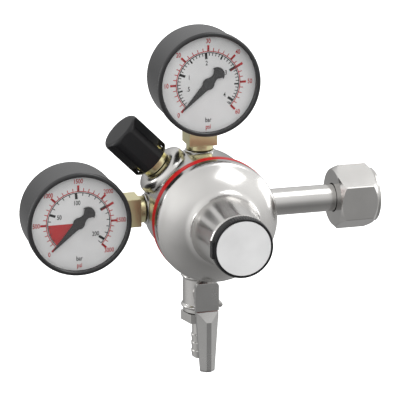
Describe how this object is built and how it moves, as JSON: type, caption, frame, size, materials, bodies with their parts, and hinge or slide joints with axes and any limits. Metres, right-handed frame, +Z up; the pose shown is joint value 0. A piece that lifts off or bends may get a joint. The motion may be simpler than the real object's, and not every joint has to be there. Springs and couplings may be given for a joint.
{
  "type": "gas pressure regulator",
  "caption": "Gas pressure regulator with dial gauges for outlet and cylinder pressure, front adjusting knob, capped relief valve, union nut inlet and a lever shut-off with hose barb",
  "frame": {"origin": "centre of the outer face of the inlet washer, where the cylinder valve seats, on the inlet axis", "axes": "+X along the inlet nipple into the cylinder valve, -Y towards the front with the adjusting knob and dials, +Z up towards the outlet gauge"},
  "size_m": [0.1768, 0.0844, 0.171],
  "materials": {
    "satin_nickel": "satin nickel plating over brass",
    "satin_steel": "satin",
    "spring_steel": "bright",
    "brass": "machined",
    "phosphor_bronze": "drawn",
    "black_plastic": "gloss",
    "white_enamel": "smooth",
    "red_plastic": "gloss",
    "rubber": "matte",
    "seal_plastic": "matte",
    "clear_window": "clear"
  },
  "bodies": {
    "regulator": {"valve_body": "satin_nickel", "bonnet": "satin_nickel", "inlet_nipple": "satin_nickel", "outlet_valve_body": "satin_nickel", "hose_barb": "satin_nickel", "main_spring": "spring_steel", "poppet_spring": "spring_steel", "relief_spring": "spring_steel", "nozzle_seat": "brass", "relief_body": "brass", "relief_adjuster": "brass", "outlet_gauge_socket": "brass", "outlet_gauge_movement_frame": "brass", "cylinder_gauge_socket": "brass", "cylinder_gauge_movement_frame": "brass", "inlet_filter": "phosphor_bronze", "outlet_gauge_bourdon_tube": "phosphor_bronze", "cylinder_gauge_bourdon_tube": "phosphor_bronze", "relief_cap": "black_plastic", "outlet_gauge_case": "black_plastic", "cylinder_gauge_case": "black_plastic", "outlet_gauge_dial": "white_enamel", "cylinder_gauge_dial": "white_enamel", "clamp_ring": "red_plastic", "diaphragm": "rubber", "stem_seal": "rubber", "barb_seal": "rubber", "upper_ball_seat": "seal_plastic", "lower_ball_seat": "seal_plastic", "inlet_washer": "seal_plastic", "outlet_gauge_window": "clear_window", "cylinder_gauge_window": "clear_window"},
    "knob": {"adjusting_knob": "black_plastic", "knob_badge": "white_enamel", "adjusting_screw": "spring_steel", "screw_circlip": "spring_steel"},
    "pressure_button": {"spring_button": "brass"},
    "valve_lift_group": {"diaphragm_plate": "spring_steel", "poppet": "spring_steel"},
    "relief_piston": {"relief_poppet": "spring_steel"},
    "shutoff_lever": {"outlet_lever": "satin_steel", "valve_stem": "spring_steel", "valve_ball": "spring_steel"},
    "union_nut": {"inlet_nut": "satin_nickel"},
    "outlet_gauge_hand": {"outlet_gauge_pointer": "black_plastic", "outlet_gauge_arbor": "brass"},
    "outlet_gauge_quadrant": {"outlet_gauge_sector": "brass"},
    "outlet_gauge_linkage": {"outlet_gauge_link": "spring_steel"},
    "cylinder_gauge_hand": {"cylinder_gauge_pointer": "black_plastic", "cylinder_gauge_arbor": "brass"},
    "cylinder_gauge_quadrant": {"cylinder_gauge_sector": "brass"},
    "cylinder_gauge_linkage": {"cylinder_gauge_link": "spring_steel"}
  },
  "joints": [
    {"name": "knob_turn", "type": "hinge", "parent": "regulator", "child": "knob", "pos_m": [-0.08, 0, 0], "axis": [0, 1, 0], "range_deg": [0, 1440]},
    {"name": "button_travel", "type": "slide", "parent": "regulator", "child": "pressure_button", "axis": [0, 1, 0], "range_m": [0, 0.005], "deforming": ["main_spring"]},
    {"name": "valve_lift", "type": "slide", "parent": "regulator", "child": "valve_lift_group", "axis": [0, 1, 0], "range_m": [0, 0.0008], "stiffness_N_per_m": 800, "springref_m": -0.001, "deforming": ["diaphragm", "poppet_spring"]},
    {"name": "relief_lift", "type": "slide", "parent": "regulator", "child": "relief_piston", "axis": [-0.7071, 0, 0.7071], "range_m": [0, 0.0015], "stiffness_N_per_m": 1500, "springref_m": -0.002, "deforming": ["relief_spring"]},
    {"name": "lever_turn", "type": "hinge", "parent": "regulator", "child": "shutoff_lever", "pos_m": [-0.08, 0.006, -0.0435], "axis": [0, 1, 0], "range_deg": [0, 90]},
    {"name": "nut_spin", "type": "hinge", "parent": "regulator", "child": "union_nut", "pos_m": [0, 0, 0], "axis": [1, 0, 0], "continuous": true},
    {"name": "outlet_gauge_quadrant_swing", "type": "hinge", "parent": "regulator", "child": "outlet_gauge_quadrant", "pos_m": [-0.076, 0.006, 0.0506], "axis": [0, 1, 0], "range_deg": [-33.75, 0], "stiffness_Nm_per_rad": 0.002},
    {"name": "outlet_gauge_reading", "type": "hinge", "parent": "regulator", "child": "outlet_gauge_hand", "pos_m": [-0.08, 0.006, 0.0638], "axis": [0, 1, 0], "range_deg": [0, 270]},
    {"name": "outlet_gauge_link_swing", "type": "hinge", "parent": "outlet_gauge_quadrant", "child": "outlet_gauge_linkage", "pos_m": [-0.07484, 0.006, 0.04677], "axis": [0, 1, 0], "range_deg": [0, 33.75]},
    {"name": "cylinder_gauge_quadrant_swing", "type": "hinge", "parent": "regulator", "child": "cylinder_gauge_quadrant", "pos_m": [-0.1306, 0.006, 0.004], "axis": [0, 1, 0], "range_deg": [-33.75, 0], "stiffness_Nm_per_rad": 0.002},
    {"name": "cylinder_gauge_reading", "type": "hinge", "parent": "regulator", "child": "cylinder_gauge_hand", "pos_m": [-0.1438, 0.006, 0], "axis": [0, 1, 0], "range_deg": [0, 270]},
    {"name": "cylinder_gauge_link_swing", "type": "hinge", "parent": "cylinder_gauge_quadrant", "child": "cylinder_gauge_linkage", "pos_m": [-0.12677, 0.006, 0.00516], "axis": [0, 1, 0], "range_deg": [0, 33.75]}
  ],
  "couplings": [
    {"joint": "knob_turn", "follows": "button_travel", "rad_per_m": 5026.5},
    {"joint": "outlet_gauge_reading", "follows": "outlet_gauge_quadrant_swing", "ratio": -8},
    {"joint": "outlet_gauge_link_swing", "follows": "outlet_gauge_quadrant_swing", "ratio": -1},
    {"joint": "cylinder_gauge_reading", "follows": "cylinder_gauge_quadrant_swing", "ratio": -8},
    {"joint": "cylinder_gauge_link_swing", "follows": "cylinder_gauge_quadrant_swing", "ratio": -1}
  ]
}
